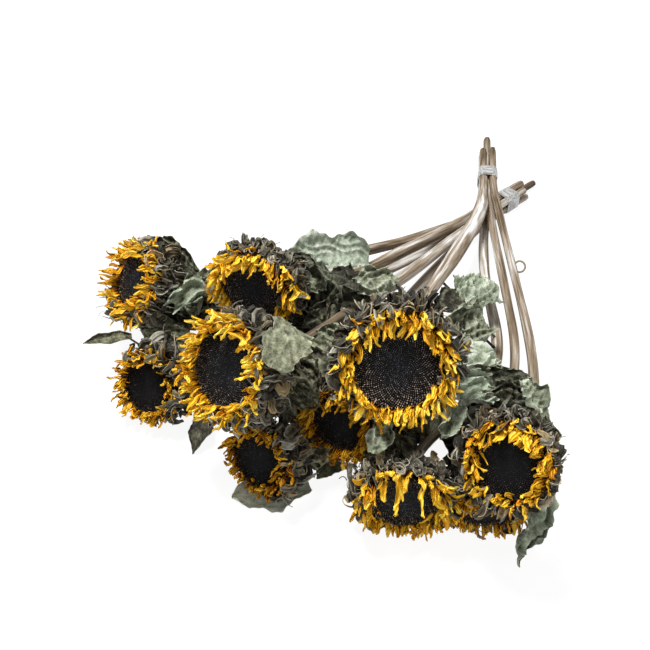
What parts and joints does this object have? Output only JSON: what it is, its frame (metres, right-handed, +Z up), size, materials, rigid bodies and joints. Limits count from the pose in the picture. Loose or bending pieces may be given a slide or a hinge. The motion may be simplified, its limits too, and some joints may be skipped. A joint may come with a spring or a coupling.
{
  "type": "bunch of sunflowers",
  "caption": "Bunch of dried sunflowers lying down: seed heads with short crumpled petals and curled bracts, dried leaves, and long stems held in crossing tape ties.",
  "frame": {"origin": "the middle of the bottom of the whole bunch's box, on the surface that it lies on", "axes": "+Z up from the surface, +Y from the flower heads towards the cut stem ends, -Y the side that the flowers face"},
  "size_m": [0.3874, 0.4732, 0.1543],
  "materials": {
    "seed_disc": "matt, grainy",
    "petal": "matt, papery and crumpled",
    "bract": "matt, dried and fibrous",
    "stem": "matt, ribbed and streaked",
    "leaf": "matt, dried and wrinkled",
    "tape": "glossy, clear and creased"
  },
  "bodies": {
    "root": {"disc_1": "seed_disc", "rays_1": "petal", "calyx_1": "bract", "stem_1": "stem", "disc_2": "seed_disc", "rays_2": "petal", "calyx_2": "bract", "stem_2": "stem", "disc_3": "seed_disc", "rays_3": "petal", "calyx_3": "bract", "stem_3": "stem", "disc_4": "seed_disc", "rays_4": "petal", "calyx_4": "bract", "stem_4": "stem", "disc_5": "seed_disc", "rays_5": "petal", "calyx_5": "bract", "stem_5": "stem", "disc_6": "seed_disc", "rays_6": "petal", "calyx_6": "bract", "stem_6": "stem", "disc_7": "seed_disc", "rays_7": "petal", "calyx_7": "bract", "stem_7": "stem", "disc_8": "seed_disc", "rays_8": "petal", "calyx_8": "bract", "stem_8": "stem", "disc_9": "seed_disc", "rays_9": "petal", "calyx_9": "bract", "stem_9": "stem", "disc_10": "seed_disc", "rays_10": "petal", "calyx_10": "bract", "stem_10": "stem", "leaf_upper": "leaf", "leaf_between": "leaf", "leaf_right_1": "leaf", "leaf_right_2": "leaf", "leaf_right_3": "leaf", "leaf_right_4": "leaf", "leaf_right_edge": "leaf", "leaf_shield": "leaf", "leaf_floor": "leaf", "leaf_left_tip": "leaf", "leaf_left_low": "leaf", "leaf_left_back": "leaf", "leaf_crown": "leaf", "leaf_right_low": "leaf", "leaf_middle": "leaf", "leaf_centre_low": "leaf", "leaf_centre_floor": "leaf", "tie_a": "tape", "tie_b": "tape"}
  },
  "joints": []
}
